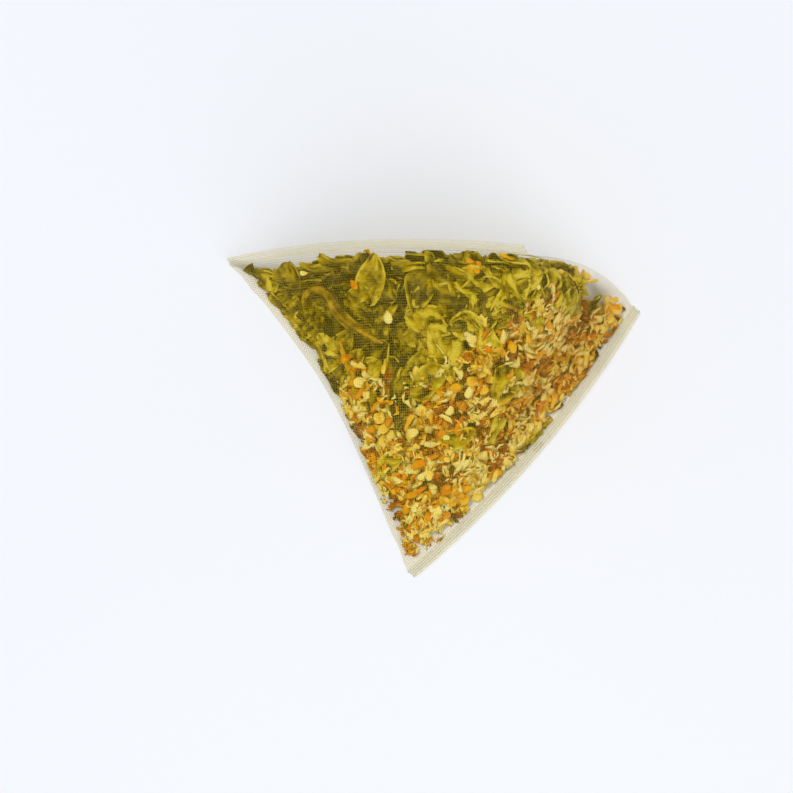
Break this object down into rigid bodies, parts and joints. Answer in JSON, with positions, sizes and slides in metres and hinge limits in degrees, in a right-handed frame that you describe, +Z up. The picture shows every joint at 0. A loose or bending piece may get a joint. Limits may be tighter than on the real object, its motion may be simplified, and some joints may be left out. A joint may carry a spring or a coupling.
{
  "type": "pyramid tea bag",
  "caption": "Four-cornered gauze tea bag with two crossed welded seals, filled with opened green tea leaves, stalks and osmanthus blossoms, lying wet on one face.",
  "frame": {"origin": "On the table, under the middle of the bag's box.", "axes": "+Z up from the table. +X along the longest side of the lying bag, towards the right-hand corner. +Y towards the raised far seal."},
  "size_m": [0.0684, 0.0556, 0.0326],
  "materials": {
    "gauze": "fine see-through nylon gauze, wet, with clear welded edges",
    "tea_leaf": "steeped green tea leaf, wet, crumpled, olive to yellow-green",
    "stalk": "wet leaf stalk, yellow-brown",
    "blossom": "wet osmanthus petals, cream to orange"
  },
  "bodies": {
    "root": {"mesh_bag": "gauze", "tea_leaf_01": "tea_leaf", "tea_leaf_02": "tea_leaf", "tea_leaf_03": "tea_leaf", "tea_leaf_04": "tea_leaf", "tea_leaf_05": "tea_leaf", "tea_leaf_06": "tea_leaf", "tea_leaf_07": "tea_leaf", "tea_leaf_08": "tea_leaf", "tea_leaf_09": "tea_leaf", "tea_leaf_10": "tea_leaf", "tea_leaf_11": "tea_leaf", "tea_leaf_12": "tea_leaf", "tea_leaf_13": "tea_leaf", "tea_leaf_14": "tea_leaf", "leaf_stalk_1": "stalk", "leaf_stalk_2": "stalk", "osmanthus_blossom_01": "blossom", "osmanthus_blossom_02": "blossom", "osmanthus_blossom_03": "blossom", "osmanthus_blossom_04": "blossom", "osmanthus_blossom_05": "blossom", "osmanthus_blossom_06": "blossom", "osmanthus_blossom_07": "blossom", "osmanthus_blossom_08": "blossom", "osmanthus_blossom_09": "blossom", "osmanthus_blossom_10": "blossom", "osmanthus_blossom_11": "blossom", "osmanthus_blossom_12": "blossom", "osmanthus_blossom_13": "blossom", "osmanthus_blossom_14": "blossom", "osmanthus_blossom_15": "blossom", "osmanthus_blossom_16": "blossom", "osmanthus_blossom_17": "blossom", "osmanthus_blossom_18": "blossom", "osmanthus_blossom_19": "blossom", "osmanthus_blossom_20": "blossom", "osmanthus_blossom_21": "blossom", "osmanthus_blossom_22": "blossom", "osmanthus_blossom_23": "blossom", "osmanthus_blossom_24": "blossom", "osmanthus_blossom_25": "blossom", "osmanthus_blossom_26": "blossom", "osmanthus_blossom_27": "blossom", "osmanthus_blossom_28": "blossom", "osmanthus_blossom_29": "blossom", "osmanthus_blossom_30": "blossom", "osmanthus_blossom_31": "blossom", "osmanthus_blossom_32": "blossom", "osmanthus_blossom_33": "blossom", "osmanthus_blossom_34": "blossom", "osmanthus_blossom_35": "blossom", "osmanthus_blossom_36": "blossom"}
  },
  "joints": []
}
